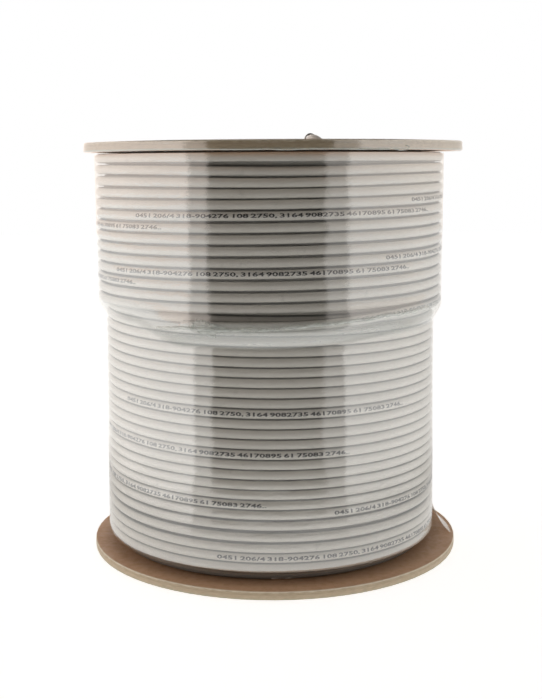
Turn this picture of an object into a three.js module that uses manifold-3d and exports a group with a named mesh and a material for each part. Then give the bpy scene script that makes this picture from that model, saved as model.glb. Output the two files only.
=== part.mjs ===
// A full reel of white coaxial cable, standing on one end: two round board flanges
// on a paper barrel, drawn together by three tie bolts, wound with cable and wrapped
// in clear stretch film. Millimetres, +Z up. The origin is the centre of the bottom
// flange's underside, on the reel's axis, and -Y is the front.
import * as THREE from "three";
import { mergeVertices } from "three/addons/utils/BufferGeometryUtils.js";
import Module from "manifold-3d";

// Reel
const flangeDiameter = 285;
const flangeThickness = 6.5;
const windingWidth = 298; // between the flanges
const spindleHoleDiameter = 40;
const barrelDiameter = 80;
const barrelWall = 4;
const barrelSeatDepth = 2.5; // how far each flange takes the barrel in

// Cable
const cableDiameter = 7;
const fullLayerDiameter = 252; // over the cable, where the outer layer stops
const fullLayerFlare = 2.4; // how much further out it lies at the bottom flange
const fullLayerGap = 0.28; // between its turns
const uncoveredTurns = 1; // at the bottom flange, which the full layer stops short of
const outerLayerTurns = 14; // the last layer only covers the top of the reel
const outerLayerGap = 0.66;

// Outer end of the cable, which sags away from the outer layer and is cut off
const outerEndStart = 95; // degrees round from the front, to the right
const outerEndStop = -30;
const outerEndSagStart = 55;
const outerEndSagStop = 5;
const outerEndSag = 3.4;

// Inner end of the cable, which comes up through a slot beside the barrel
const tailStartAngle = 28; // degrees from +X
const tailStartGap = 1.5; // between it and the barrel
const tailSlotClearance = 1.5;
const tailSlotPoints = 5; // the slot ends at this point of the route

// Staples over the inner end
const stapleWire = 1.2;
const stapleLegDepth = 5; // in the board
const staplePoints = [11, 15]; // points of the route that they hold

// Tie bolts and the tee nuts that they run into
const boltCount = 3;
const boltDiameter = 6;
const boltHeadDiameter = 13;
const boltHeadHeight = 2.2;
const boltFootDepth = 0.5; // of a shank's end, inside its nut's face
const nutPlateDiameter = 13;
const nutPlateThickness = 1.2;
const nutSleeveDiameter = 8.6;
const nutSleeveLength = 3.6;

// Stretch film
const filmThickness = 0.5;
const filmMargin = 1; // below the outer end of the cable

// Gap between pieces that touch, and how far a cutting shape runs past what it cuts
const seat = 0.3;
const overrun = 1;

// Facets
const flangeFacets = 72;
const windingFacets = 36;
const filmFacets = 48;
const barrelFacets = 48;
const boltFacets = 14;
const cableFacets = 10;
const wireFacets = 8;

// Where things are
const reelHeight = windingWidth + 2 * flangeThickness;
const topFlangeUnderside = reelHeight - flangeThickness;
const flangeRadius = flangeDiameter / 2;
const barrelRadius = barrelDiameter / 2;
const cableRadius = cableDiameter / 2;
const windingBottom = flangeThickness + seat;
const windingTop = topFlangeUnderside - seat;
const outerLayerPitch = cableDiameter + outerLayerGap;
const outerLayerBottom = windingTop - outerLayerTurns * outerLayerPitch;
const layerRise = cableDiameter * Math.cos(Math.PI / 6); // turns nest in the layer below
const outerLayerRadius = fullLayerDiameter / 2 + layerRise;
const boltHoleRadius = boltDiameter / 2 + seat;
const boltCircleRadius = (spindleHoleDiameter / 2 + barrelRadius - barrelWall) / 2;

// Outside radius of the full layer at a height
function fullLayerRadius(z) {
  const down = (outerLayerBottom - z) / (outerLayerBottom - windingBottom);
  return fullLayerDiameter / 2 + fullLayerFlare * THREE.MathUtils.clamp(down, 0, 1);
}

const wasm = await Module();
wasm.setup();

// A solid turned about the Z axis from [radius, z] points, listed anticlockwise
function turned(profile, facets) {
  const points = profile.map(([radius, z]) => new THREE.Vector2(radius, z));
  return new THREE.LatheGeometry(points, facets).rotateX(Math.PI / 2);
}

// A turned ring: its profile closes on itself
function turnedRing(profile, facets) {
  return turned([...profile, profile[0]], facets);
}

// A round bar along a curve
function bar(curve, radius, steps, facets) {
  const section = new THREE.Shape();
  for (let i = 0; i < facets; i++) {
    const angle = (2 * Math.PI * i) / facets;
    section.lineTo(radius * Math.cos(angle), radius * Math.sin(angle));
  }
  section.closePath();
  return new THREE.ExtrudeGeometry(section, { steps, extrudePath: curve });
}

function toSolid(geometry) {
  const plain = geometry.clone();
  plain.deleteAttribute("normal");
  plain.deleteAttribute("uv");
  const merged = mergeVertices(plain, 1e-4);
  return new wasm.Manifold(
    new wasm.Mesh({
      numProp: 3,
      vertProperties: merged.attributes.position.array,
      triVerts: new Uint32Array(merged.index.array),
    }),
  );
}

function toGeometry(solid) {
  const mesh = solid.getMesh();
  return new THREE.BufferGeometry()
    .setAttribute("position", new THREE.BufferAttribute(mesh.vertProperties, 3))
    .setIndex(new THREE.BufferAttribute(mesh.triVerts, 1));
}

// A geometry with others cut out of it
function cut(geometry, tools) {
  return toGeometry(tools.reduce((solid, tool) => solid.subtract(toSolid(tool)), toSolid(geometry)));
}

// An upright cylinder from one height to another, for cutting
function drill(x, y, radius, from, to, facets) {
  return new THREE.CylinderGeometry(radius, radius, to - from, facets)
    .rotateX(Math.PI / 2)
    .translate(x, y, (from + to) / 2);
}

const reel = new THREE.Group();

function add(name, geometry, material) {
  const mesh = new THREE.Mesh(geometry, material);
  mesh.name = name;
  reel.add(mesh);
  return mesh;
}

const board = new THREE.MeshStandardMaterial({ color: 0xa07a58, roughness: 0.75, metalness: 0 });
const paper = new THREE.MeshStandardMaterial({ color: 0x9a8468, roughness: 0.9, metalness: 0 });
const jacket = new THREE.MeshStandardMaterial({ color: 0xe2dfd8, roughness: 0.35, metalness: 0 });
const steel = new THREE.MeshStandardMaterial({ color: 0xb8b8b4, roughness: 0.35, metalness: 1 });
const film = new THREE.MeshStandardMaterial({
  color: 0xeef1f0,
  roughness: 0.1,
  metalness: 0,
  transparent: true,
  opacity: 0.3,
});

// Route of the inner end: [forward, left, height] from where it leaves the barrel, with
// forward along the barrel's tangent there and height 0 where it lies on the flange
const tailRoute = [
  [0, 0, -7.43],
  [3.5, 0, -4.72],
  [7, 0.1, -2.67],
  [10, 0.1, -1.48],
  [13, 0, -0.65],
  [16, -0.4, -0.16],
  [19, -1.2, 0],
  [22, -2.2, 0],
  [25, -3.5, 0],
  [29, -5.3, 0],
  [33, -7.3, 0],
  [37, -9.4, 0],
  [41, -11.6, 0],
  [45, -13.8, 0],
  [49, -16, 0],
  [53, -18.2, 0],
  [57, -20.5, 0],
];
const tailAngle = THREE.MathUtils.degToRad(tailStartAngle);
const tailStartRadius = barrelRadius + tailStartGap + cableRadius;
const tailForward = new THREE.Vector3(-Math.sin(tailAngle), Math.cos(tailAngle), 0);
const tailOutward = new THREE.Vector3(Math.cos(tailAngle), Math.sin(tailAngle), 0);
const tailPoints = tailRoute.map(([forward, left, height]) =>
  new THREE.Vector3(0, 0, reelHeight + seat + cableRadius + height)
    .addScaledVector(tailOutward, tailStartRadius - left)
    .addScaledVector(tailForward, forward),
);

// Flanges: a board disc with a spindle hole and a groove that takes the barrel's end
function flangeProfile(outside, inside) {
  const inward = Math.sign(inside - outside);
  const grooveFloor = inside - inward * barrelSeatDepth;
  const grooveOuter = barrelRadius + seat;
  const grooveInner = barrelRadius - barrelWall - seat;
  const profile = [
    [spindleHoleDiameter / 2, outside],
    [flangeRadius, outside],
    [flangeRadius, inside],
    [grooveOuter, inside],
    [grooveOuter, grooveFloor],
    [grooveInner, grooveFloor],
    [grooveInner, inside],
    [spindleHoleDiameter / 2, inside],
  ];
  return inward > 0 ? profile : profile.reverse();
}

const boltPlaces = Array.from({ length: boltCount }, (_, i) => {
  const angle = Math.PI / 2 + (2 * Math.PI * i) / boltCount;
  return [boltCircleRadius * Math.cos(angle), boltCircleRadius * Math.sin(angle)];
});

// Slot for the inner end: a straight hole with round ends
function tailSlot() {
  const radius = cableRadius + tailSlotClearance;
  const [from, to] = [tailPoints[0], tailPoints[tailSlotPoints]];
  const along = new THREE.Vector2(to.x - from.x, to.y - from.y);
  const outline = new THREE.Shape();
  outline.absarc(0, 0, radius, Math.PI / 2, 1.5 * Math.PI, false);
  outline.absarc(along.length(), 0, radius, -Math.PI / 2, Math.PI / 2, false);
  const height = flangeThickness + 2 * overrun;
  return new THREE.ExtrudeGeometry(outline, { depth: height, bevelEnabled: false, curveSegments: 8 })
    .rotateZ(along.angle())
    .translate(from.x, from.y, topFlangeUnderside - overrun);
}

// Staples: a wire arch over the cable, with its legs in the board
const archRadius = cableRadius + seat + stapleWire / 2;
const staples = staplePoints.map((place) => {
  const centre = tailPoints[place];
  const next = tailPoints[place + 1];
  const across = new THREE.Vector3(next.y - centre.y, centre.x - next.x, 0).normalize();
  const legs = [1, -1].map((side) =>
    centre.clone().addScaledVector(across, side * archRadius).setZ(reelHeight - stapleLegDepth),
  );
  return { centre, across, legs };
});

class StapleCurve extends THREE.Curve {
  constructor({ centre, across }) {
    super();
    this.centre = centre;
    this.across = across;
    this.straight = centre.z - reelHeight + stapleLegDepth;
    this.total = 2 * this.straight + Math.PI * archRadius;
  }
  getPoint(t) {
    const travelled = t * this.total;
    const arch = THREE.MathUtils.clamp((travelled - this.straight) / archRadius, 0, Math.PI);
    const down = Math.max(this.straight - travelled, travelled + this.straight - this.total, 0);
    return this.centre
      .clone()
      .addScaledVector(this.across, archRadius * Math.cos(arch))
      .add(new THREE.Vector3(0, 0, archRadius * Math.sin(arch) - down));
  }
}

const stapleHoleRadius = stapleWire / 2 + seat;
const stapleHoles = staples.flatMap(({ legs }) =>
  legs.map(({ x, y, z }) =>
    drill(x, y, stapleHoleRadius, z - seat, reelHeight + overrun, wireFacets),
  ),
);

const topBoltHoles = boltPlaces.map(([x, y]) =>
  drill(x, y, boltHoleRadius, topFlangeUnderside - overrun, reelHeight + overrun, boltFacets),
);
const topFlange = cut(turnedRing(flangeProfile(reelHeight, topFlangeUnderside), flangeFacets), [
  ...topBoltHoles,
  tailSlot(),
  ...stapleHoles,
]);
add("top_flange", topFlange, board);

// The bottom flange's holes are stepped, so that the tee nuts lie flush underneath
const nutPlateTop = seat + nutPlateThickness;
const bottomBoltHoles = boltPlaces.flatMap(([x, y]) => [
  drill(x, y, nutSleeveDiameter / 2 + seat, -overrun, flangeThickness + overrun, boltFacets),
  drill(x, y, nutPlateDiameter / 2 + seat, -overrun, nutPlateTop + seat, boltFacets),
]);
const bottomFlange = cut(turnedRing(flangeProfile(0, flangeThickness), flangeFacets), bottomBoltHoles);
add("bottom_flange", bottomFlange, board);

// Barrel: a paper tube whose ends sit in the flanges' grooves
const barrelBottom = flangeThickness - barrelSeatDepth + seat;
const barrelTop = reelHeight - barrelBottom;
const barrelBore = barrelRadius - barrelWall;
const barrel = turnedRing(
  [
    [barrelBore, barrelBottom],
    [barrelRadius, barrelBottom],
    [barrelRadius, barrelTop],
    [barrelBore, barrelTop],
  ],
  barrelFacets,
);
add("barrel", barrel, paper);

// Tie bolts: a low round head above the top flange and a shank down into the tee nut
const boltFoot = seat + boltFootDepth;
const headBottom = reelHeight + seat;
const headTop = headBottom + boltHeadHeight;
const boltRadius = boltDiameter / 2;
const headRadius = boltHeadDiameter / 2;
const boltProfile = [
  [0, boltFoot],
  [boltRadius, boltFoot],
  [boltRadius, headBottom],
  [headRadius, headBottom],
  [0.85 * headRadius, headBottom + 0.55 * boltHeadHeight],
  [0.5 * headRadius, headBottom + 0.9 * boltHeadHeight],
  [0, headTop],
];

// Tee nuts: a round plate let into the bottom flange, with a threaded sleeve
const sleeveTop = nutPlateTop + nutSleeveLength;
const nutProfile = [
  [boltHoleRadius, seat],
  [nutPlateDiameter / 2, seat],
  [nutPlateDiameter / 2, nutPlateTop],
  [nutSleeveDiameter / 2, nutPlateTop],
  [nutSleeveDiameter / 2, sleeveTop],
  [boltHoleRadius, sleeveTop],
];
boltPlaces.forEach(([x, y], i) => {
  add(`tie_bolt_${i + 1}`, turned(boltProfile, boltFacets), steel).position.set(x, y, 0);
  add(`tee_nut_${i + 1}`, turnedRing(nutProfile, boltFacets), steel).position.set(x, y, 0);
});

// One turn of cable in a winding's profile, from its lower edge to its crest's upper edge
function turnProfile(crestRadius, bottom, pitch) {
  return [
    [crestRadius - cableRadius, bottom],
    [crestRadius, bottom + pitch / 4],
    [crestRadius, bottom + (3 * pitch) / 4],
  ];
}

// Winding: the whole cable as one turned solid, with its turns standing out of it
function windingProfile() {
  const bore = barrelRadius + seat;
  const fullLayerHeight = outerLayerBottom - windingBottom;
  const turns = Math.round(fullLayerHeight / (cableDiameter + fullLayerGap));
  const pitch = fullLayerHeight / turns;
  const profile = [[bore, windingBottom]];
  for (let i = 0; i < turns; i++) {
    const bottom = windingBottom + i * pitch;
    const crest = fullLayerRadius(bottom + pitch / 2) - (i < uncoveredTurns ? layerRise : 0);
    profile.push(...turnProfile(crest, bottom, pitch));
  }
  profile.push([fullLayerRadius(outerLayerBottom) - cableRadius, outerLayerBottom]);
  for (let i = 0; i < outerLayerTurns; i++) {
    const bottom = outerLayerBottom + i * outerLayerPitch;
    profile.push(...turnProfile(outerLayerRadius, bottom, outerLayerPitch));
  }
  profile.push([outerLayerRadius - cableRadius, windingTop], [bore, windingTop]);
  return profile;
}
add("cable_winding", turnedRing(windingProfile(), windingFacets), jacket);

// Outer end of the cable, lying on the full layer just below the outer layer
class OuterEndCurve extends THREE.Curve {
  getPoint(t) {
    const degrees = THREE.MathUtils.lerp(outerEndStart, outerEndStop, t);
    const sag = outerEndSag * THREE.MathUtils.smoothstep(-degrees, -outerEndSagStart, -outerEndSagStop);
    const z = outerLayerBottom - seat - cableRadius - sag;
    const radius = fullLayerRadius(z) + seat + cableRadius;
    const angle = THREE.MathUtils.degToRad(degrees);
    return new THREE.Vector3(radius * Math.sin(angle), -radius * Math.cos(angle), z);
  }
}
add("cable_outer_end", bar(new OuterEndCurve(), cableRadius, 20, cableFacets), jacket);

// Inner end of the cable, up through the slot and along the top flange
const tailCurve = new THREE.CatmullRomCurve3(tailPoints);
add("cable_inner_end", bar(tailCurve, cableRadius, 18, cableFacets), jacket);

staples.forEach((staple, i) => {
  add(`staple_${i + 1}`, bar(new StapleCurve(staple), stapleWire / 2, 22, wireFacets), steel);
});

// Stretch film: one skin over the winding, drawn in below the outer layer
const outerEndLowest = outerLayerBottom - seat - cableDiameter - outerEndSag;
const outerEndReach = fullLayerRadius(outerEndLowest) + seat + cableDiameter;
const filmStepTop = outerEndLowest - filmMargin;
const filmStepBottom = filmStepTop - layerRise;
const filmInside = [
  [fullLayerRadius(windingBottom) + 2 * seat, windingBottom],
  [fullLayerRadius(filmStepBottom) + 2 * seat, filmStepBottom],
  [Math.max(outerLayerRadius, outerEndReach) + 2 * seat, filmStepTop],
  [Math.max(outerLayerRadius, outerEndReach) + 2 * seat, windingTop],
];
const filmOutside = filmInside.map(([radius, z]) => [radius + filmThickness, z]);
add("stretch_film", turnedRing([...filmOutside, ...filmInside.reverse()], filmFacets), film);

export default reel;
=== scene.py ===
import bisect
import functools
import math

import bmesh
import bpy
from mathutils import Matrix, Vector, noise


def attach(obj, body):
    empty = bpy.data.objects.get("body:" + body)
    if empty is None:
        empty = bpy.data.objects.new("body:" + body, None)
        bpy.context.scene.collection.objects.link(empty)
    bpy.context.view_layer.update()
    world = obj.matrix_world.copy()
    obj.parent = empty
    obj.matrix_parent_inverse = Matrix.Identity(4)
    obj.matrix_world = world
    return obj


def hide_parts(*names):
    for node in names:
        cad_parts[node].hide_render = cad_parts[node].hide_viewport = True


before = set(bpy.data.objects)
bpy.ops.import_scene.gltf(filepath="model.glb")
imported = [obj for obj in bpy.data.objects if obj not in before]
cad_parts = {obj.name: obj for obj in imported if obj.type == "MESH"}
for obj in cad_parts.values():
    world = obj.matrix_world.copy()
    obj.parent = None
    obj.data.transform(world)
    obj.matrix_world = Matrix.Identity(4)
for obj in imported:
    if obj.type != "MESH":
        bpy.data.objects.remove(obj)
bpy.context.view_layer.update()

# Lengths are in millimetres and angles in degrees, measured round the reel from its front, to the right.
MM = 0.001

# reel
flange_radius = 142.5
flange_thickness = 6.5
reel_height = 311
rim_rounding = 0.7
core_bore = 43.5

# cable
cable_radius = 3.5
laid_radius = 3.44  # of the wound turns, pressed a little flat where they touch
braid_radius = 2.65
foam_radius = 2.3
conductor_radius = 0.51
layer_rise = 6.06
winding_shift = -3  # the turns lie a little to the left of the flanges
winding_bottom = 6.8
winding_top = 304.2
steps_a_turn = 96
cable_sides = 14

# full layer, wound from the bottom flange up
full_layer_radius = 122.5
full_layer_flare = 2.4
full_layer_start = 180
full_layer_pitch = 7.13
full_layer_turns = 40.95
loose_turn = 5
loose_gap = 2.4

# outer layer, wound from the top flange down and cut off
outer_layer_radius = 128.56
outer_layer_start = 180
outer_layer_top = 300
outer_layer_pitch = 7.735
outer_layer_bottom = 196.96
first_gap = 1.9
outer_end_turn = 14
outer_end_stop = -27
outer_end_sag = 3.8

# inner end, out through the top flange
inner_end_angle = 28
inner_end_radius = 45
inner_end_base = 314.8
inner_end_route = (
    (0, 0, -7.43),
    (3.5, 0, -4.72),
    (7, 0.1, -2.67),
    (10, 0.1, -1.48),
    (13, 0, -0.65),
    (16, -0.4, -0.16),
    (19, -1.2, 0),
    (22, -2.2, 0),
    (25, -3.5, 0),
    (29, -5.3, 0),
    (33, -7.3, 0),
    (37, -9.4, 0),
    (41, -11.6, 0),
    (45, -13.8, 0),
    (49, -16, 0),
    (53, -18.2, 0),
    (57, -20.5, 0),
)

# jacket print: plain numbers where the photo shows print
print_height = 3.5
print_length = 232
print_turns_outer = 1.2579  # from one copy to the next
print_on_turn_six = -7.4
print_gap = 0.035
print_words = "0451 206/4 318-904276 108 2750, 3164 9082735 46170895 61 75083 2746.."

# film
film_steps_round = 220
film_row = 1.05
film_dip = 0.12
film_clearance = 0.35
film_bottom = 11.5
film_top = 302.8
film_tuck = 4
film_bulge = 1.6  # over the outer end
film_slope = 13.5  # height in which the film comes in from the outer layer to the full one
rope_radius = 1.2
tuft_angle = -18.5
tuft_height = 186.5
flap_angle = 99

# camera, in metres and radians
camera_lens = 59.0
camera_sensor = 36
camera_place = (-0.0023, -0.889, 0.2956)
camera_tilt = 0.161
camera_roll = -0.0055

# stage
floor_size = 4
tent_colour_left = (1, 0.905, 0.85, 1)
tent_colour_right = (1, 0.95, 0.91, 1)
tent_brightness = 1.12
tent_partial = 0.42
tent_left = 1.3


def smooth(low, high, value):
    t = min(max((value - low) / (high - low), 0), 1)
    return t * t * (3 - 2 * t)


def soft_ramp(value, rounding):
    return (value + math.sqrt(value * value + rounding * rounding)) / 2


def wander(seed, place, size):
    return size * noise.noise(Vector((place, seed * 7.31, seed * 1.7)))


def on_reel(radius, angle, height):
    turn = math.radians(angle)
    return Vector((radius * math.sin(turn), -radius * math.cos(turn), height)) * MM


def on_winding(radius, angle, height):
    return on_reel(radius, angle, height) + Vector((winding_shift, 0, 0)) * MM


def outward_from_winding(point):
    return Vector((point.x - winding_shift * MM, point.y, 0)).normalized()


def put_in_scene(obj):
    bpy.context.scene.collection.objects.link(obj)
    return obj


# camera

def stand_camera():
    lens = bpy.data.cameras.new("studio_lens")
    lens.lens = camera_lens
    lens.sensor_width = camera_sensor
    lens.clip_start = 0.01
    camera = put_in_scene(bpy.data.objects.new("studio_camera", lens))
    tilt = Matrix.Rotation(math.pi / 2 - camera_tilt, 4, "X")
    roll = Matrix.Rotation(camera_roll, 4, "Z")
    camera.matrix_world = Matrix.Translation(camera_place) @ tilt @ roll
    bpy.context.scene.camera = camera


stand_camera()


# cable routes

def full_layer_height(turns):
    height = winding_bottom + cable_radius + full_layer_pitch * soft_ramp(turns - 0.55, 0.12)
    height += loose_gap * smooth(loose_turn - 1.6, loose_turn + 1.6, turns)
    height += wander(3, turns * 2.3, 0.22)
    return min(height, winding_top - cable_radius)


def full_layer_point(turns):
    angle = full_layer_start - 360 * turns
    height = full_layer_height(turns)
    radius = full_layer_centre(height)
    radius -= layer_rise * (1 - smooth(0.93, 1.07, turns))
    radius += wander(4, turns * 1.9, 0.3)
    return on_winding(radius, angle, height)


def full_layer_centre(height):
    down = (outer_layer_bottom - height) / (outer_layer_bottom - winding_bottom)
    return full_layer_radius + full_layer_flare * max(down, 0)


def outer_layer_height(turns):
    even = turns - 0.5
    crossing = round(turns)
    stepped = max(crossing - 1 + smooth(-0.2, 0.2, turns - crossing), 0)
    drop = outer_layer_pitch * (stepped + (even - stepped) * smooth(0, 5, turns))
    at_front = math.exp(-((turns % 1 - 0.49) / 0.1) ** 2)
    drop += first_gap * at_front * smooth(1, 1.1, turns) * (1 - smooth(1.4, 5, turns))
    last = outer_end_turn + outer_layer_start / 360
    drop += outer_end_sag * smooth(last - 55 / 360, last - 5 / 360, turns)
    return outer_layer_top - drop + wander(6, turns * 2.1, 0.2)


def outer_layer_point(turns):
    angle = outer_layer_start - 360 * turns
    height = outer_layer_height(turns)
    climb = smooth(-0.04, 0.1, turns)
    radius = outer_layer_radius - layer_rise * (1 - climb)
    last = outer_end_turn + outer_layer_start / 360
    rest = full_layer_centre(height) + 2 * cable_radius + 0.2
    radius += (rest - outer_layer_radius) * smooth(last - 70 / 360, last - 20 / 360, turns)
    radius += wander(7, turns * 1.7, 0.25)
    if 1 < turns < 2:
        radius -= 0.9 * math.exp(-((turns - 1.49) / 0.11) ** 2)
    return on_winding(radius, angle, height)


def route(point_at, start, stop, steps):
    count = max(2, round((stop - start) * steps))
    return [point_at(start + (stop - start) * i / count) for i in range(count + 1)]


def inner_end_points():
    turn = math.radians(inner_end_angle)
    forward_way = Vector((-math.sin(turn), math.cos(turn), 0))
    outward_way = Vector((math.cos(turn), math.sin(turn), 0))
    points = []
    for forward, left, height in inner_end_route:
        point = outward_way * (inner_end_radius - left) + forward_way * forward
        point.z = inner_end_base + height
        points.append(point * MM)
    return points


# tubes

def cable_curve(name, points, radius, sides, smooth_route=False):
    curve = bpy.data.curves.new(name + "_route", "CURVE")
    curve.dimensions = "3D"
    curve.twist_mode = "Z_UP"
    curve.bevel_depth = radius * MM
    curve.bevel_resolution = (sides - 4) // 2
    curve.use_fill_caps = True
    if smooth_route:
        curve.resolution_u = 5
        spline = curve.splines.new("BEZIER")
        spline.bezier_points.add(len(points) - 1)
        for knot, point in zip(spline.bezier_points, points):
            knot.co = point
            knot.handle_left_type = "AUTO"
            knot.handle_right_type = "AUTO"
    else:
        spline = curve.splines.new("POLY")
        spline.points.add(len(points) - 1)
        for knot, point in zip(spline.points, points):
            knot.co = (*point, 1)
    return put_in_scene(bpy.data.objects.new(name + "_route", curve))


def curve_to_piece(name, curve_object):
    graph = bpy.context.evaluated_depsgraph_get()
    mesh = bpy.data.meshes.new_from_object(curve_object.evaluated_get(graph))
    mesh.name = name
    curve = curve_object.data
    bpy.data.objects.remove(curve_object)
    bpy.data.curves.remove(curve)
    piece = put_in_scene(bpy.data.objects.new(name, mesh))
    mesh.materials.clear()
    shade(piece)
    return piece


def tube(name, points, radius, sides, smooth_route=False):
    return curve_to_piece(name, cable_curve(name, points, radius, sides, smooth_route))


def shade(piece, angle=35):
    mesh = piece.data
    for face in mesh.polygons:
        face.use_smooth = True
    mesh.set_sharp_from_angle(angle=math.radians(angle))


def finish_mesh(name, shape, sharp=35):
    bmesh.ops.remove_doubles(shape, verts=shape.verts, dist=1e-6)
    bmesh.ops.recalc_face_normals(shape, faces=shape.faces)
    mesh = bpy.data.meshes.new(name)
    shape.to_mesh(mesh)
    shape.free()
    piece = put_in_scene(bpy.data.objects.new(name, mesh))
    shade(piece, sharp)
    return piece


def coat(piece, material):
    piece.data.materials.clear()
    piece.data.materials.append(material)


def dress(piece, material, slot_name, *nodes):
    coat(piece, material)
    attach(piece, "root")
    if nodes:
        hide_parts(*nodes)
    return piece


# node helpers for the materials

class Nodes:
    def __init__(self, tree):
        self.tree = tree

    def add(self, kind, **settings):
        node = self.tree.nodes.new(kind)
        inputs = settings.pop("inputs", {})
        for key, value in settings.items():
            setattr(node, key, value)
        for key, value in inputs.items():
            if isinstance(value, bpy.types.NodeSocket):
                self.tree.links.new(value, node.inputs[key])
            else:
                node.inputs[key].default_value = value
        return node

    def math(self, operation, *values):
        node = self.tree.nodes.new("ShaderNodeMath")
        node.operation = operation
        for socket, value in zip(node.inputs, values):
            if isinstance(value, bpy.types.NodeSocket):
                self.tree.links.new(value, socket)
            else:
                socket.default_value = value
        return node.outputs[0]

    def step(self, value, low, high, from_value=0.0, to_value=1.0):
        node = self.add("ShaderNodeMapRange", interpolation_type="SMOOTHSTEP")
        for socket, number in zip(node.inputs, (value, low, high, from_value, to_value)):
            if isinstance(number, bpy.types.NodeSocket):
                self.tree.links.new(number, socket)
            else:
                socket.default_value = number
        return node.outputs[0]

    def mix(self, factor, first, second):
        node = self.add("ShaderNodeMix", data_type="RGBA")
        for socket, value in zip((node.inputs[0], node.inputs[6], node.inputs[7]), (factor, first, second)):
            if isinstance(value, bpy.types.NodeSocket):
                self.tree.links.new(value, socket)
            else:
                socket.default_value = value
        return node.outputs[2]

    def link(self, start, end):
        self.tree.links.new(start, end)


def colour(red, green, blue):
    return (red, green, blue, 1)


def new_material(name):
    material = bpy.data.materials.new(name)
    material.use_nodes = True
    material.node_tree.nodes.clear()
    return material, Nodes(material.node_tree)


def principled(kit, **values):
    shader = kit.add("ShaderNodeBsdfPrincipled")
    for key, value in values.items():
        socket = shader.inputs[key.replace("_", " ")]
        if isinstance(value, bpy.types.NodeSocket):
            kit.link(value, socket)
        else:
            socket.default_value = value
    output = kit.add("ShaderNodeOutputMaterial")
    kit.link(shader.outputs[0], output.inputs[0])
    return shader


def object_place(kit, stretch=(1, 1, 1)):
    place = kit.add("ShaderNodeTexCoord")
    mapping = kit.add("ShaderNodeMapping")
    mapping.inputs["Scale"].default_value = stretch
    kit.link(place.outputs["Object"], mapping.inputs["Vector"])
    return mapping.outputs["Vector"]


def mottling_group():
    tree = bpy.data.node_groups.new("mottling", "ShaderNodeTree")
    tree.interface.new_socket("Place", in_out="INPUT", socket_type="NodeSocketVector")
    tree.interface.new_socket("Scale", in_out="INPUT", socket_type="NodeSocketFloat")
    tree.interface.new_socket("Coarse", in_out="OUTPUT", socket_type="NodeSocketFloat")
    tree.interface.new_socket("Fine", in_out="OUTPUT", socket_type="NodeSocketFloat")
    kit = Nodes(tree)
    start = kit.add("NodeGroupInput")
    end = kit.add("NodeGroupOutput")
    coarse = kit.add("ShaderNodeTexNoise")
    kit.link(start.outputs["Place"], coarse.inputs["Vector"])
    kit.link(start.outputs["Scale"], coarse.inputs["Scale"])
    coarse.inputs["Detail"].default_value = 3
    fine_scale = kit.math("MULTIPLY", start.outputs["Scale"], 9.0)
    fine = kit.add("ShaderNodeTexNoise")
    kit.link(start.outputs["Place"], fine.inputs["Vector"])
    kit.link(fine_scale, fine.inputs["Scale"])
    fine.inputs["Detail"].default_value = 5
    kit.link(coarse.outputs[0], end.inputs["Coarse"])
    kit.link(fine.outputs[0], end.inputs["Fine"])
    return tree


mottling = mottling_group()


def mottle(kit, place, scale):
    node = kit.add("ShaderNodeGroup", node_tree=mottling)
    kit.link(place, node.inputs["Place"])
    node.inputs["Scale"].default_value = scale
    return node.outputs["Coarse"], node.outputs["Fine"]


def bumped(kit, height, distance, strength):
    bump = kit.add("ShaderNodeBump")
    bump.inputs["Distance"].default_value = distance
    bump.inputs["Strength"].default_value = strength
    kit.link(height, bump.inputs["Height"])
    return bump.outputs["Normal"]


def long_grain(kit, stretch, detail):
    grain = kit.add("ShaderNodeTexNoise")
    kit.link(object_place(kit, stretch), grain.inputs["Vector"])
    grain.inputs["Scale"].default_value = 1.0
    grain.inputs["Detail"].default_value = detail
    return grain.outputs[0]


def tint(kit, tone, mask, strength, tinted):
    return kit.mix(kit.math("MULTIPLY", mask, strength), tone, tinted)


def object_axes(kit):
    place = kit.add("ShaderNodeTexCoord").outputs["Object"]
    parts = kit.add("ShaderNodeSeparateXYZ")
    kit.link(place, parts.inputs[0])
    return parts.outputs


def out_from_axis(kit, axes):
    across = kit.math("MULTIPLY", axes[0], axes[0])
    along = kit.math("MULTIPLY", axes[1], axes[1])
    return kit.math("SQRT", kit.math("ADD", across, along))


def round_from_front(kit, axes):
    forward = kit.math("MULTIPLY", axes[1], -1.0)
    return kit.math("MULTIPLY", kit.math("ARCTAN2", axes[0], forward), 180 / math.pi)


# materials

def jacket_material():
    material, kit = new_material("white_jacket")
    place = object_place(kit)
    coarse, fine = mottle(kit, place, 14)
    painted_groove_shade = kit.add("ShaderNodeAttribute", attribute_name="painted_groove_shade").outputs["Fac"]
    cleaner = kit.mix(coarse, colour(0.74, 0.705, 0.64), colour(0.83, 0.80, 0.745))
    scuffs = kit.step(fine, 0.62, 0.78)
    tone = tint(kit, cleaner, scuffs, 0.35, colour(0.48, 0.46, 0.42))
    # painted shade: the jacket darkened deep between the turns, where shade falls
    tone = tint(kit, tone, painted_groove_shade, 0.85, colour(0.07, 0.062, 0.052))
    rough = kit.step(coarse, 0.3, 0.7, 0.28, 0.4)
    normal = bumped(kit, fine, 0.0002, 0.25)
    principled(kit, Base_Color=tone, Roughness=rough, Normal=normal, Specular_IOR_Level=0.5)
    return material


def ink_material():
    material, kit = new_material("grey_print_ink")
    place = object_place(kit)
    coarse, fine = mottle(kit, place, 60)
    tone = kit.mix(fine, colour(0.02, 0.02, 0.022), colour(0.09, 0.088, 0.085))
    rough = kit.step(coarse, 0.3, 0.7, 0.45, 0.65)
    principled(kit, Base_Color=tone, Roughness=rough)
    return material


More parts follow.
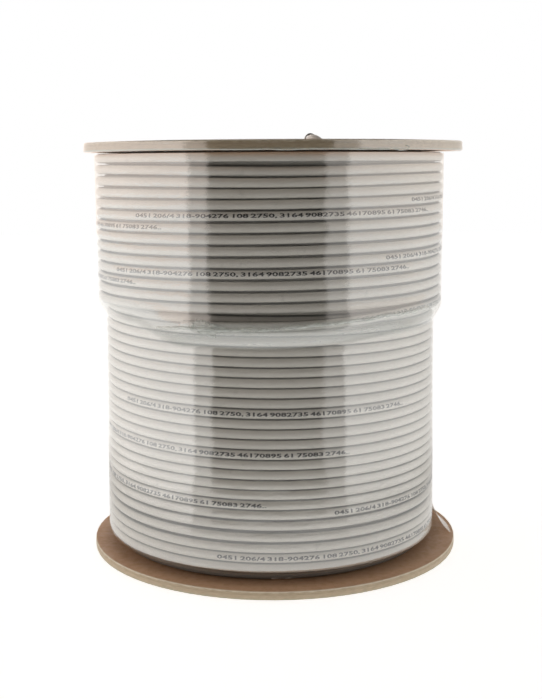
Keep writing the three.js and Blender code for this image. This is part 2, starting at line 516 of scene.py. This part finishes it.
def board_face(kit, coarse, fine, out, shade_near_winding):
    fibres = long_grain(kit, (60, 700, 700), 4)
    specks = kit.step(fine, 0.45, 0.75)
    face = kit.mix(coarse, colour(0.68, 0.405, 0.235), colour(0.78, 0.49, 0.30))
    face = tint(kit, face, specks, 0.18, colour(0.30, 0.155, 0.08))
    face = tint(kit, face, fibres, 0.25, colour(0.56, 0.38, 0.25))
    # painted shade: the board face darkened next to the winding, where the winding shades it
    painted_shade_by_winding = kit.step(out, 0.128, 0.138, shade_near_winding, 0.0)
    return kit.mix(painted_shade_by_winding, face, colour(0.2, 0.105, 0.055))


def board_edge(kit, height, frayed, layers_at):
    """The rim of the board: a pale skin on top, a greenish one below, and a dark line between layers."""
    level = kit.math("MULTIPLY", kit.math("SUBTRACT", height, layers_at), 1 / (flange_thickness * MM))
    wander_up = kit.math("MULTIPLY", kit.math("SUBTRACT", frayed, 0.5), 0.22)
    level = kit.math("ADD", level, wander_up)
    edge = kit.mix(frayed, colour(0.40, 0.31, 0.20), colour(0.64, 0.51, 0.35))
    edge = kit.mix(kit.step(level, 0.80, 0.92), edge, colour(0.78, 0.69, 0.53))
    edge = kit.mix(kit.step(level, 0.24, 0.08), edge, colour(0.42, 0.40, 0.29))
    from_line = kit.math("ABSOLUTE", kit.math("SUBTRACT", level, 0.62))
    return tint(kit, edge, kit.step(from_line, 0.05, 0.0), 0.55, colour(0.36, 0.26, 0.17))


def board_material(name, layers_at, shade_near_winding):
    material, kit = new_material(name)
    coarse, fine = mottle(kit, object_place(kit), 26)
    frayed = long_grain(kit, (220, 220, 900), 4)
    axes = object_axes(kit)
    out = out_from_axis(kit, axes)
    face = board_face(kit, coarse, fine, out, shade_near_winding)
    edge = board_edge(kit, axes[2], frayed, layers_at)
    rim = kit.step(out, (flange_radius - 0.75) * MM, (flange_radius - 0.25) * MM)
    bore = kit.step(out, 0.0204, 0.0201)
    tone = kit.mix(kit.math("MAXIMUM", rim, bore), face, edge)
    rough = kit.step(fine, 0.3, 0.7, 0.42, 0.72)
    height = kit.math("ADD", kit.math("MULTIPLY", fine, 0.5), kit.math("MULTIPLY", frayed, 0.5))
    normal = bumped(kit, height, 0.0006, 0.35)
    principled(kit, Base_Color=tone, Roughness=rough, Normal=normal, Specular_IOR_Level=0.45)
    return material


def paper_material():
    material, kit = new_material("spiral_wound_paper")
    place = object_place(kit)
    parts = kit.add("ShaderNodeSeparateXYZ")
    kit.link(place, parts.inputs[0])
    round_about = kit.math("ARCTAN2", parts.outputs[1], parts.outputs[0])
    up = kit.math("MULTIPLY", parts.outputs[2], 14.0)
    climb = kit.math("ADD", up, kit.math("MULTIPLY", round_about, 0.159155))
    seam = kit.math("PINGPONG", climb, 0.5)
    coarse, fine = mottle(kit, place, 45)
    tone = kit.mix(coarse, colour(0.40, 0.29, 0.19), colour(0.52, 0.40, 0.28))
    tone = tint(kit, tone, kit.step(seam, 0.02, 0.0), 0.7, colour(0.22, 0.15, 0.1))
    tone = tint(kit, tone, fine, 0.25, colour(0.6, 0.5, 0.38))
    rough = kit.step(fine, 0.3, 0.7, 0.75, 0.95)
    normal = bumped(kit, fine, 0.0004, 0.3)
    principled(kit, Base_Color=tone, Roughness=rough, Normal=normal)
    return material


def zinc_material():
    material, kit = new_material("zinc_plated_steel")
    place = object_place(kit)
    coarse, fine = mottle(kit, place, 160)
    tone = kit.mix(coarse, colour(0.52, 0.52, 0.50), colour(0.74, 0.73, 0.69))
    tone = tint(kit, tone, kit.step(fine, 0.55, 0.75), 0.4, colour(0.5, 0.43, 0.3))
    rough = kit.step(fine, 0.3, 0.7, 0.26, 0.48)
    normal = bumped(kit, fine, 0.0001, 0.3)
    principled(kit, Base_Color=tone, Roughness=rough, Normal=normal, Metallic=1.0)
    return material


def foam_material():
    material, kit = new_material("white_foam_insulation")
    place = object_place(kit)
    coarse, fine = mottle(kit, place, 700)
    tone = kit.mix(fine, colour(0.80, 0.79, 0.75), colour(0.92, 0.91, 0.88))
    rough = kit.step(coarse, 0.3, 0.7, 0.55, 0.8)
    normal = bumped(kit, fine, 0.0002, 0.5)
    principled(kit, Base_Color=tone, Roughness=rough, Normal=normal, Subsurface_Weight=0.1)
    return material


def braid_material():
    material, kit = new_material("aluminium_braid")
    place = object_place(kit)
    weave = kit.add("ShaderNodeTexVoronoi")
    kit.link(place, weave.inputs["Vector"])
    weave.inputs["Scale"].default_value = 2600
    tone = kit.mix(weave.outputs["Distance"], colour(0.80, 0.80, 0.79), colour(0.45, 0.45, 0.45))
    rough = kit.step(weave.outputs["Distance"], 0.1, 0.8, 0.25, 0.5)
    normal = bumped(kit, weave.outputs["Distance"], 0.0002, 0.6)
    principled(kit, Base_Color=tone, Roughness=rough, Normal=normal, Metallic=1.0)
    return material


def copper_material():
    material, kit = new_material("copper_clad_conductor")
    place = object_place(kit)
    coarse, fine = mottle(kit, place, 500)
    tone = kit.mix(coarse, colour(0.72, 0.36, 0.21), colour(0.86, 0.52, 0.34))
    rough = kit.step(fine, 0.3, 0.7, 0.22, 0.4)
    normal = bumped(kit, fine, 0.0001, 0.2)
    principled(kit, Base_Color=tone, Roughness=rough, Normal=normal, Metallic=1.0)
    return material


def film_material(name, haze, veil, rough_low, rough_high, wrinkle):
    """Film of this haze: veil is the refractive index that its reflections go by."""
    material, kit = new_material(name)
    place = object_place(kit, (1, 1, 3.2))
    coarse, fine = mottle(kit, place, 18)
    normal = bumped(kit, kit.math("ADD", coarse, kit.math("MULTIPLY", fine, 0.35)), wrinkle, 1.0)
    rough = kit.step(coarse, 0.3, 0.7, rough_low, rough_high)
    gloss = kit.add("ShaderNodeBsdfGlossy", inputs={"Roughness": rough, "Normal": normal})
    gloss.inputs["Color"].default_value = colour(1.0, 0.985, 0.965)
    milky = kit.add("ShaderNodeBsdfDiffuse", inputs={"Normal": normal})
    milky.inputs["Color"].default_value = colour(0.80, 0.84, 0.80)
    clear = kit.add("ShaderNodeBsdfTransparent")
    clear.inputs["Color"].default_value = colour(0.985, 0.99, 0.98)
    gathered = kit.add("ShaderNodeAttribute", attribute_name="gathered").outputs["Fac"]
    streaks = long_grain(kit, (14, 14, 190), 3)
    creased = kit.math("MULTIPLY", gathered, kit.step(streaks, 0.3, 0.7, 0.2, 0.42))
    haze_amount = kit.math("ADD", creased, kit.step(fine, 0.35, 0.75, haze * 0.5, haze * 1.5))
    body = kit.add("ShaderNodeMixShader", inputs={0: haze_amount})
    kit.link(clear.outputs[0], body.inputs[1])
    kit.link(milky.outputs[0], body.inputs[2])
    from_behind = kit.add("ShaderNodeNewGeometry").outputs["Backfacing"]
    index = kit.step(from_behind, 0.0, 1.0, veil, 1 / veil)
    glance = kit.add("ShaderNodeFresnel", inputs={"Normal": normal, "IOR": index})
    both = kit.add("ShaderNodeMixShader", inputs={0: glance.outputs[0]})
    kit.link(body.outputs[0], both.inputs[1])
    kit.link(gloss.outputs[0], both.inputs[2])
    output = kit.add("ShaderNodeOutputMaterial")
    kit.link(both.outputs[0], output.inputs[0])
    return material


# stage

def tent_openings_group():
    """How bright the tent is in each direction round the reel: dark at the front, in two steps to full."""
    tree = bpy.data.node_groups.new("tent_openings", "ShaderNodeTree")
    tree.interface.new_socket("Round", in_out="INPUT", socket_type="NodeSocketFloat")
    tree.interface.new_socket("Level", in_out="OUTPUT", socket_type="NodeSocketFloat")
    kit = Nodes(tree)
    start = kit.add("NodeGroupInput")
    end = kit.add("NodeGroupOutput")
    to_right = start.outputs["Round"]
    to_left = kit.math("MULTIPLY", to_right, -1.0)
    right_part = kit.step(to_right, 35, 36.5, 0.0, tent_partial)
    right_full = kit.step(to_right, 50, 51.5, 0.0, 1 - tent_partial)
    left_part = kit.step(to_left, 38.5, 40, 0.0, 1.5 * tent_partial)
    left_full = kit.step(to_left, 51.5, 53, 0.0, tent_left - 1.5 * tent_partial)
    level = kit.math("ADD", kit.math("ADD", right_part, right_full), kit.math("ADD", left_part, left_full))
    aside = kit.math("ABSOLUTE", to_right)
    kit.link(kit.math("MULTIPLY", level, kit.step(aside, 105, 150, 1.0, 0.8)), end.inputs["Level"])
    return tree


tent_openings = tent_openings_group()


def floor_material():
    """A white table: reflections of it in the film follow the tent's edges, and it lights the reel."""
    material, kit = new_material("white_table")
    axes = object_axes(kit)
    away = out_from_axis(kit, axes)
    widening = kit.math("ADD", 1.0, kit.math("DIVIDE", 0.068, away))
    widened = kit.math("MULTIPLY", round_from_front(kit, axes), widening)
    opening = kit.add("ShaderNodeGroup", node_tree=tent_openings)
    kit.link(widened, opening.inputs["Round"])
    beside = kit.math("MULTIPLY", opening.outputs["Level"], kit.step(away, 0.2, 0.5, 0.5, tent_brightness))
    shine = kit.math("MAXIMUM", kit.step(away, 0.1, 0.5, 0.85, 0.08), beside)
    spread = kit.step(axes[1], -0.75, -0.2, 0.35, 1.0)
    path = kit.add("ShaderNodeLightPath")
    glossy = path.outputs["Is Glossy Ray"]
    near = kit.math("ADD", kit.math("MULTIPLY", shine, glossy),
                    kit.math("MULTIPLY", spread, kit.math("SUBTRACT", 1.0, glossy)))
    seen = kit.add("ShaderNodeEmission", inputs={"Color": colour(1, 1, 1), "Strength": 0.75})
    unseen = kit.add("ShaderNodeEmission", inputs={"Color": colour(1, 1, 1), "Strength": near})
    glow = kit.add("ShaderNodeMixShader", inputs={0: path.outputs["Is Camera Ray"]})
    kit.link(unseen.outputs[0], glow.inputs[1])
    kit.link(seen.outputs[0], glow.inputs[2])
    matt = kit.add("ShaderNodeBsdfDiffuse", inputs={"Color": colour(0.8, 0.8, 0.8)})
    dull = kit.add("ShaderNodeBsdfDiffuse", inputs={"Color": colour(0.12, 0.12, 0.12)})
    ground = kit.add("ShaderNodeMixShader", inputs={0: path.outputs["Is Camera Ray"]})
    kit.link(dull.outputs[0], ground.inputs[1])
    kit.link(matt.outputs[0], ground.inputs[2])
    total = kit.add("ShaderNodeAddShader")
    kit.link(glow.outputs[0], total.inputs[0])
    kit.link(ground.outputs[0], total.inputs[1])
    output = kit.add("ShaderNodeOutputMaterial")
    kit.link(total.outputs[0], output.inputs[0])
    return material


def lay_floor():
    shape = bmesh.new()
    bmesh.ops.create_grid(shape, x_segments=2, y_segments=2, size=floor_size)
    floor = finish_mesh("white_table", shape)
    floor.data.materials.append(floor_material())


def light_tent():
    """A white tent round the sides and back, open at the front where it stays dark."""
    world = bpy.data.worlds.new("white_tent")
    bpy.context.scene.world = world
    world.use_nodes = True
    world.node_tree.nodes.clear()
    kit = Nodes(world.node_tree)
    way = kit.add("ShaderNodeTexCoord").outputs["Generated"]
    parts = kit.add("ShaderNodeSeparateXYZ")
    kit.link(way, parts.inputs[0])
    opening = kit.add("ShaderNodeGroup", node_tree=tent_openings)
    kit.link(round_from_front(kit, parts.outputs), opening.inputs["Round"])
    walls = kit.math("ADD", opening.outputs["Level"], 0.02)
    above = kit.math("MULTIPLY", kit.math("ARCSINE", parts.outputs[2]), 180 / math.pi)
    walls = kit.math("MULTIPLY", walls, kit.step(above, 28, 48, 1.0, 0.0))
    roof = kit.step(above, 45, 75, 0.0, 0.1)
    level = kit.math("MULTIPLY", kit.math("ADD", walls, roof), tent_brightness)
    cloth = kit.mix(kit.step(parts.outputs[0], -0.1, 0.1), tent_colour_left, tent_colour_right)
    tent = kit.add("ShaderNodeBackground", inputs={"Color": cloth, "Strength": level})
    plain = kit.add("ShaderNodeBackground", inputs={"Color": colour(1, 1, 1), "Strength": 1.0})
    path = kit.add("ShaderNodeLightPath")
    chosen = kit.add("ShaderNodeMixShader", inputs={0: path.outputs["Is Camera Ray"]})
    kit.link(tent.outputs[0], chosen.inputs[1])
    kit.link(plain.outputs[0], chosen.inputs[2])
    output = kit.add("ShaderNodeOutputWorld")
    kit.link(chosen.outputs[0], output.inputs[0])


# pieces

def mark_painted_groove_shade(layer, centre_radius_at):
    """Marks how deep each point lies between the turns, for the painted shade that darkens the jacket in
    the grooves.
    """
    painted_groove_shade = layer.data.attributes.new("painted_groove_shade", "FLOAT", "POINT")
    for vert, mark in zip(layer.data.vertices, painted_groove_shade.data):
        across = math.hypot(vert.co.x / MM - winding_shift, vert.co.y / MM)
        out = across - centre_radius_at(vert.co.z / MM)
        mark.value = smooth(1.7, 0.6, out)


def outer_layer_centre(height):
    if height > outer_layer_bottom:
        return outer_layer_radius
    return full_layer_centre(height) + 2 * cable_radius


def wind_cable(jacket):
    full_points = route(full_layer_point, 0, full_layer_turns, steps_a_turn)
    full = tube("full_layer", full_points, laid_radius, cable_sides)
    mark_painted_groove_shade(full, full_layer_centre)
    dress(full, jacket, "cable_jacket", "cable_winding")
    last = outer_end_turn + (outer_layer_start - outer_end_stop) / 360
    outer_points = route(outer_layer_point, -0.05, last, steps_a_turn)
    outer = tube("outer_layer", outer_points, laid_radius, cable_sides)
    mark_painted_groove_shade(outer, outer_layer_centre)
    dress(outer, jacket, "cable_jacket", "cable_outer_end")
    return outer_points


def inner_layer_point(turns):
    angle = 360 * turns
    height = winding_bottom + cable_radius + full_layer_pitch * turns
    radius = full_layer_centre(height) - layer_rise - 0.15
    return on_winding(radius, angle, min(height, winding_top - cable_radius))


def wind_inner_layers(jacket):
    points = route(inner_layer_point, 0, 40.7, 60)
    layer = tube("layer_below", points, cable_radius, 10)
    dress(layer, jacket, "cable_jacket", "cable_winding")


def pack_core(jacket):
    shape = bmesh.new()
    outline = [(core_bore, winding_bottom), (full_layer_radius - layer_rise - 1.5, winding_bottom)]
    rows = 80
    for row in range(rows + 1):
        height = winding_bottom + (winding_top - winding_bottom) * row / rows
        ripple = 0.9 * (row % 2)
        outline.append((full_layer_centre(height) - layer_rise - 2.4 + ripple, height))
    outline.append((core_bore, winding_top))
    corners = [shape.verts.new((radius * MM, 0, height * MM)) for radius, height in outline]
    for start, end in zip(corners, corners[1:]):
        shape.edges.new((start, end))
    bmesh.ops.spin(shape, geom=shape.verts[:] + shape.edges[:], cent=(0, 0, 0), axis=(0, 0, 1),
                   angle=math.tau, steps=72, use_merge=True)
    bmesh.ops.translate(shape, vec=(winding_shift * MM, 0, 0), verts=shape.verts)
    core = finish_mesh("packed_turns", shape)
    dress(core, jacket, "cable_jacket", "cable_winding")


def round_bar(name, centre, way, radius, length, rounding):
    shape = bmesh.new()
    bmesh.ops.create_cone(shape, cap_ends=True, segments=28, radius1=radius * MM, radius2=radius * MM,
                          depth=length * MM)
    far_edges = [edge for edge in shape.edges if all(vert.co.z > 0 for vert in edge.verts)]
    bmesh.ops.bevel(shape, geom=far_edges, offset=rounding * MM, segments=2, profile=0.5,
                    affect="EDGES", material=-1)
    turn = way.to_track_quat("Z", "Y").to_matrix().to_4x4()
    bmesh.ops.transform(shape, matrix=Matrix.Translation(centre) @ turn, verts=shape.verts)
    return finish_mesh(name, shape)


def show_cut_end(name, tip, way, finishes):
    layers = (
        ("braid", braid_radius, 0.6, "braid"),
        ("foam", foam_radius, 1.6, "foam_dielectric"),
        ("conductor", conductor_radius, 3.4, "conductor"),
    )
    for part, radius, reach, slot_name in layers:
        length = 3 + reach
        centre = tip + way * (reach - length / 2) * MM
        bar = round_bar(name + "_" + part, centre, way, radius, length, 0.15)
        dress(bar, finishes[slot_name], slot_name)


def lead_out_inner_end(jacket):
    points = inner_end_points()
    end = tube("inner_end", points, cable_radius, 20, smooth_route=True)
    dress(end, jacket, "cable_jacket", "cable_inner_end")
    return points


def flange_board(name, node, material):
    source = bpy.data.objects[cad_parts[node].name]
    shape = bmesh.new()
    shape.from_mesh(source.data)
    bmesh.ops.remove_doubles(shape, verts=shape.verts, dist=1e-6)
    bmesh.ops.dissolve_limit(shape, angle_limit=math.radians(0.5), verts=shape.verts, edges=shape.edges)
    rim_edges = []
    for edge in shape.edges:
        first, second = edge.verts
        level = abs(first.co.z - second.co.z) < 1e-5
        outside = all(math.hypot(vert.co.x, vert.co.y) > (flange_radius - 1) * MM for vert in edge.verts)
        if level and outside:
            rim_edges.append(edge)
    bmesh.ops.bevel(shape, geom=rim_edges, offset=rim_rounding * MM, segments=2, profile=0.5,
                    affect="EDGES", material=-1)
    board = finish_mesh(name, shape, 40)
    for face in board.data.polygons:
        face.use_smooth = abs(face.normal.z) < 0.999
    dress(board, material, "board", node)


def number_strip(words, length, height):
    """The words as flat mesh, height tall and length long, cut across so that it can bend."""
    text = bpy.data.curves.new("print_text", "FONT")
    text.body = words
    text.size = 1
    text.resolution_u = 2
    text.offset = 0.03
    text.space_word = 0.6
    text_object = put_in_scene(bpy.data.objects.new("print_text", text))
    graph = bpy.context.evaluated_depsgraph_get()
    mesh = bpy.data.meshes.new_from_object(text_object.evaluated_get(graph))
    bpy.data.objects.remove(text_object)
    bpy.data.curves.remove(text)
    shape = bmesh.new()
    shape.from_mesh(mesh)
    bpy.data.meshes.remove(mesh)
    across = [vert.co.x for vert in shape.verts]
    up = [vert.co.y for vert in shape.verts]
    left, right, low, high = min(across), max(across), min(up), max(up)
    for vert in shape.verts:
        vert.co.x = ((vert.co.x - left) / (right - left) - 0.5) * length
        vert.co.y = ((vert.co.y - low) / (high - low) - 0.5) * height
    for cut in range(1, 7):
        level = (cut / 7 - 0.5) * height
        bmesh.ops.bisect_plane(shape, geom=shape.verts[:] + shape.edges[:] + shape.faces[:], dist=1e-5,
                               plane_co=(0, level, 0), plane_no=(0, 1, 0))
    return shape


def print_on(strip, copies_at):
    """Copies of the strip, bent round the cable: each has its route, its middle in turns and its lean."""
    whole = bmesh.new()
    for point_at, middle, lean in copies_at:
        copy = strip.copy()
        for vert in copy.verts:
            centre = point_at(middle - vert.co.x / (math.tau * outer_layer_radius))
            outward = outward_from_winding(centre)
            tilt = vert.co.y / cable_radius + math.radians(lean)
            reach = (laid_radius + print_gap) * MM
            vert.co = centre + outward * reach * math.cos(tilt) + Vector((0, 0, reach * math.sin(tilt)))
        mesh = bpy.data.meshes.new("print_part")
        copy.to_mesh(mesh)
        copy.free()
        whole.from_mesh(mesh)
        bpy.data.meshes.remove(mesh)
    return whole


def print_places():
    places = []
    turn_six = 5 + (outer_layer_start + print_on_turn_six) / 360
    for copy in range(-4, 8):
        place = turn_six + print_turns_outer * copy
        if 2.2 < place < 14.4:
            places.append((outer_layer_point, place, 4))
    return places


def full_print_places():
    front_row = full_layer_start / 360
    rows = ((16, -3.2), (12, -26), (7, -53), (6, 72), (2, 34.5))
    return [(full_layer_point, row + front_row - angle / 360, 2) for row, angle in rows]


def print_jacket(ink):
    strip = number_strip(print_words, print_length, print_height)
    outer = finish_mesh("outer_layer_print", print_on(strip, print_places()))
    dress(outer, ink, "print_ink")
    full = finish_mesh("full_layer_print", print_on(strip, full_print_places()))
    dress(full, ink, "print_ink")
    strip.free()


# film

def step_height(angle):
    """Height of the outer layer's lower edge at this angle, with a smooth way up past its loose end."""
    turns = (outer_layer_start - angle) / 360 + outer_end_turn
    if angle >= outer_end_stop:
        return outer_layer_height(turns) - cable_radius
    above = outer_layer_height(turns - 1) - cable_radius
    end = outer_layer_height(outer_end_turn + (outer_layer_start - outer_end_stop) / 360) - cable_radius
    return above + (end - above) * smooth(outer_end_stop - 24, outer_end_stop, angle)


@functools.cache
def turn_heights(angle, outer):
    """Heights of every turn of a layer at this angle, lowest first."""
    if outer:
        first = (outer_layer_start - angle) / 360 % 1
        heights = [outer_layer_height(first + turn) for turn in range(outer_end_turn + 1)]
    else:
        first = (full_layer_start - angle) / 360 % 1
        heights = [full_layer_height(first + turn) for turn in range(41)]
    return sorted(heights)


def groove_depth(rows, height):
    """0 on a turn's crest and 1 midway between two turns."""
    above = bisect.bisect(rows, height)
    if above == 0 or above == len(rows):
        return 0
    part = (height - rows[above - 1]) / (rows[above] - rows[above - 1])
    return 0.5 - 0.5 * math.cos(math.tau * part)


def film_radius(angle, height):
    step = step_height(angle)
    full = full_layer_centre(height) + cable_radius
    outer = outer_layer_radius + cable_radius
    end_near = smooth(75, 35, angle) * smooth(outer_end_stop - 14, outer_end_stop, angle)
    outer += end_near * film_bulge * smooth(step + 14, step + 5, height)
    slope = film_slope + 1.5 * noise.noise(Vector((angle / 25, 3, 1)))
    covered = smooth(step - slope, step + 1, height)
    radius = full + (outer - full) * covered
    rows = turn_heights(round(angle, 3), height > step)
    dip = groove_depth(rows, height)
    slack = abs(covered - 0.5) * 2
    radius -= film_dip * dip * slack
    turn = math.radians(angle)
    place = Vector((math.sin(turn) * 3, math.cos(turn) * 3, height / 30))
    radius += 0.16 * noise.noise(place * 2)
    radius -= film_tuck * (1 - smooth(film_bottom - 0.5, film_bottom + 4, height))
    return radius + film_clearance


def wrap_film(film):
    shape = bmesh.new()
    bottom = film_bottom
    rows = round((film_top - bottom) / film_row)
    heights = [bottom + (film_top - bottom) * row / rows for row in range(rows + 1)]
    line = [shape.verts.new((0.13, 0, height * MM)) for height in heights]
    for start, end in zip(line, line[1:]):
        shape.edges.new((start, end))
    bmesh.ops.spin(shape, geom=shape.verts[:] + shape.edges[:], cent=(0, 0, 0), axis=(0, 0, 1),
                   angle=math.tau, steps=film_steps_round, use_merge=True)
    gathered = shape.verts.layers.float.new("gathered")
    for vert in shape.verts:
        angle = math.degrees(math.atan2(vert.co.x, -vert.co.y))
        height = vert.co.z / MM
        vert.co = on_winding(film_radius(angle, height), angle, height)
        below = step_height(angle) - height
        near_end = 0.35 + 0.65 * smooth(outer_end_stop - 50, outer_end_stop, angle) * smooth(110, 70, angle)
        vert[gathered] = near_end * smooth(-6.8, -4.8, below) * smooth(14, 9, below)
    skin = finish_mesh("stretch_film_wrap", shape, 80)
    dress(skin, film, "stretch_film", "stretch_film")


def bunch_film(film):
    ends = (
        (-36, 184.5),
        (-22.8, 186.2),
        (-10.2, 185.8),
        (4.6, 187.0),
        (16.8, 189.0),
        (38.1, 192.0),
        (62, 192.5),
    )
    points = []
    for (start, low), (stop, high) in zip(ends, ends[1:]):
        for part in range(8):
            t = part / 8
            angle = start + (stop - start) * t
            height = low + (high - low) * t + wander(11, angle / 6, 0.9)
            points.append(on_winding(film_radius(angle, height) + 0.2, angle, height))
    rope = tube("film_bunched_edge", points, rope_radius, 10)
    for vert in rope.data.vertices:
        vert.co += outward_from_winding(vert.co) * noise.noise(vert.co * 140) * 0.0009
    dress(rope, film, "stretch_film", "stretch_film")


def crumple_tuft(film):
    shape = bmesh.new()
    bmesh.ops.create_grid(shape, x_segments=44, y_segments=30, size=1)
    for vert in shape.verts:
        across, up = vert.co.x, vert.co.y
        fade = max(1 - across ** 2, 0) * max(1 - up ** 2, 0)
        narrow = math.sqrt(max(1 - 0.6 * up ** 2, 0))
        short = math.sqrt(max(1 - 0.75 * across ** 2, 0))
        angle = tuft_angle + 5.5 * across * narrow + 2.5 * noise.noise(Vector((across * 2, up * 3, 2)))
        height = tuft_height + 5 * up * short - 2 * across
        height += 3 * noise.noise(Vector((across * 2, up * 2, 9)))
        crease = noise.noise(Vector((across * 4, up * 6, 5)))
        crease += 0.5 * noise.noise(Vector((across * 11, up * 13, 4)))
        radius = film_radius(angle, height) - 0.5 + 1.1 * min(4 * fade, 1) * (0.5 + abs(crease))
        vert.co = on_winding(radius, angle, height)
    tuft = finish_mesh("film_tuft", shape, 60)
    dress(tuft, film, "stretch_film", "stretch_film")


def cover_rim(film):
    """The film also lies round the edge of the top flange."""
    shape = bmesh.new()
    underside = reel_height - flange_thickness
    outline = (
        (flange_radius - 5, underside - 0.35),
        (flange_radius - 0.6, underside - 0.4),
        (flange_radius + 0.4, underside + 0.5),
        (flange_radius + 0.35, underside + 2.2),
        (flange_radius + 0.3, underside + 4.2),
        (flange_radius + 0.35, reel_height - 0.6),
        (flange_radius - 0.5, reel_height + 0.3),
        (flange_radius - 3, reel_height + 0.3),
    )
    corners = [shape.verts.new((radius * MM, 0, height * MM)) for radius, height in outline]
    for start, end in zip(corners, corners[1:]):
        shape.edges.new((start, end))
    bmesh.ops.spin(shape, geom=shape.verts[:] + shape.edges[:], cent=(0, 0, 0), axis=(0, 0, 1),
                   angle=math.tau, steps=240, use_merge=True)
    upright = [edge for edge in shape.edges if abs(edge.verts[0].co.z - edge.verts[1].co.z) > 1e-4]
    bmesh.ops.subdivide_edges(shape, edges=upright, cuts=1, use_grid_fill=True)
    for vert in shape.verts:
        outward = Vector((vert.co.x, vert.co.y, 0)).normalized()
        place = Vector((vert.co.x * 40, vert.co.y * 40, vert.co.z * 260))
        vert.co += outward * 0.00018 * (1 + noise.noise(place))
    rim = finish_mesh("film_over_rim", shape, 70)
    dress(rim, film, "stretch_film", "stretch_film")


def strand(name, ends, radius, material):
    points = []
    for (start, out, low), (stop, far, high) in zip(ends, ends[1:]):
        for part in range(6):
            t = part / 6
            angle = start + (stop - start) * t
            reach = out + (far - out) * t + wander(13, angle / 4, 0.25)
            points.append(on_reel(reach, angle, low + (high - low) * t + wander(12, angle / 5, 0.5)))
    piece = tube(name, points, radius, 8)
    for vert in piece.data.vertices:
        vert.co.z += noise.noise(vert.co * 300) * 0.0004
    dress(piece, material, "stretch_film", "stretch_film")


def gather_rim_film(bunched):
    edge = flange_radius + 0.75
    gathers = ((-14, edge - 0.3, 304.6), (4, edge, 304.5), (20, edge, 304.7), (35, edge, 304.6))
    strand("film_gathered_under_rim", gathers, 0.42, bunched)
    hook = (
        (33, edge, 305.0),
        (36, edge, 303.8),
        (38.5, edge, 304.0),
        (39.5, edge, 306.2),
        (38, edge, 307.0),
    )
    strand("film_crease_hook", hook, 0.3, bunched)


def hang_film_flap(bunched):
    """A loose flap of film from the winding down to the bottom flange, at the right."""
    shape = bmesh.new()
    bmesh.ops.create_grid(shape, x_segments=30, y_segments=20, size=1)
    for vert in shape.verts:
        across, up = (vert.co.x + 1) / 2, (vert.co.y + 1) / 2
        spread = 1 - 0.55 * up
        angle = flap_angle + 17 * (across - 0.5) * 2 * spread
        reach = (1 - up) ** 1.5 * (1 - 0.25 * across)
        radius = 130 + winding_shift + (10 - winding_shift) * reach
        height = flange_thickness + 0.5 + 19 * up ** 1.3
        crease = noise.noise(Vector((across * 5, up * 2, 8)))
        radius += 0.9 * crease * (0.2 + up * (1 - up) * 3)
        height += 0.8 * abs(crease) * min(3 * (1 - up), 1)
        vert.co = on_reel(radius, angle, height)
    flap = finish_mesh("film_flap", shape, 60)
    dress(flap, bunched, "stretch_film", "stretch_film")


def main():
    light_tent()
    lay_floor()
    jacket = jacket_material()
    ink = ink_material()
    board_top = board_material("board_of_top_flange", 0.3045, 0.15)
    board_bottom = board_material("board_of_bottom_flange", 0.0, 0.25)
    paper = paper_material()
    zinc = zinc_material()
    film = film_material("clear_stretch_film", haze=0.03, veil=3.0, rough_low=0.03, rough_high=0.07,
                         wrinkle=0.0003)
    bunched = film_material("bunched_stretch_film", haze=0.42, veil=1.8, rough_low=0.15, rough_high=0.35,
                            wrinkle=0.0008)
    finishes = {
        "braid": braid_material(),
        "foam_dielectric": foam_material(),
        "conductor": copper_material(),
    }

    outer_points = wind_cable(jacket)
    wind_inner_layers(jacket)
    pack_core(jacket)
    tip, before = outer_points[-1], outer_points[-3]
    show_cut_end("outer_end", tip, (tip - before).normalized(), finishes)
    inner_points = lead_out_inner_end(jacket)
    tip, before = inner_points[-1], inner_points[-2]
    show_cut_end("inner_end", tip, (tip - before).normalized(), finishes)
    flange_board("top_board", "top_flange", board_top)
    flange_board("bottom_board", "bottom_flange", board_bottom)
    print_jacket(ink)
    wrap_film(film)
    bunch_film(bunched)
    crumple_tuft(bunched)
    cover_rim(film)
    gather_rim_film(bunched)
    hang_film_flap(bunched)

    for node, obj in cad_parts.items():
        if node.startswith(("tie_bolt", "tee_nut", "staple")):
            coat(obj, zinc)
        if node == "barrel":
            coat(obj, paper)

    bpy.context.scene.view_settings.view_transform = "Standard"


main()
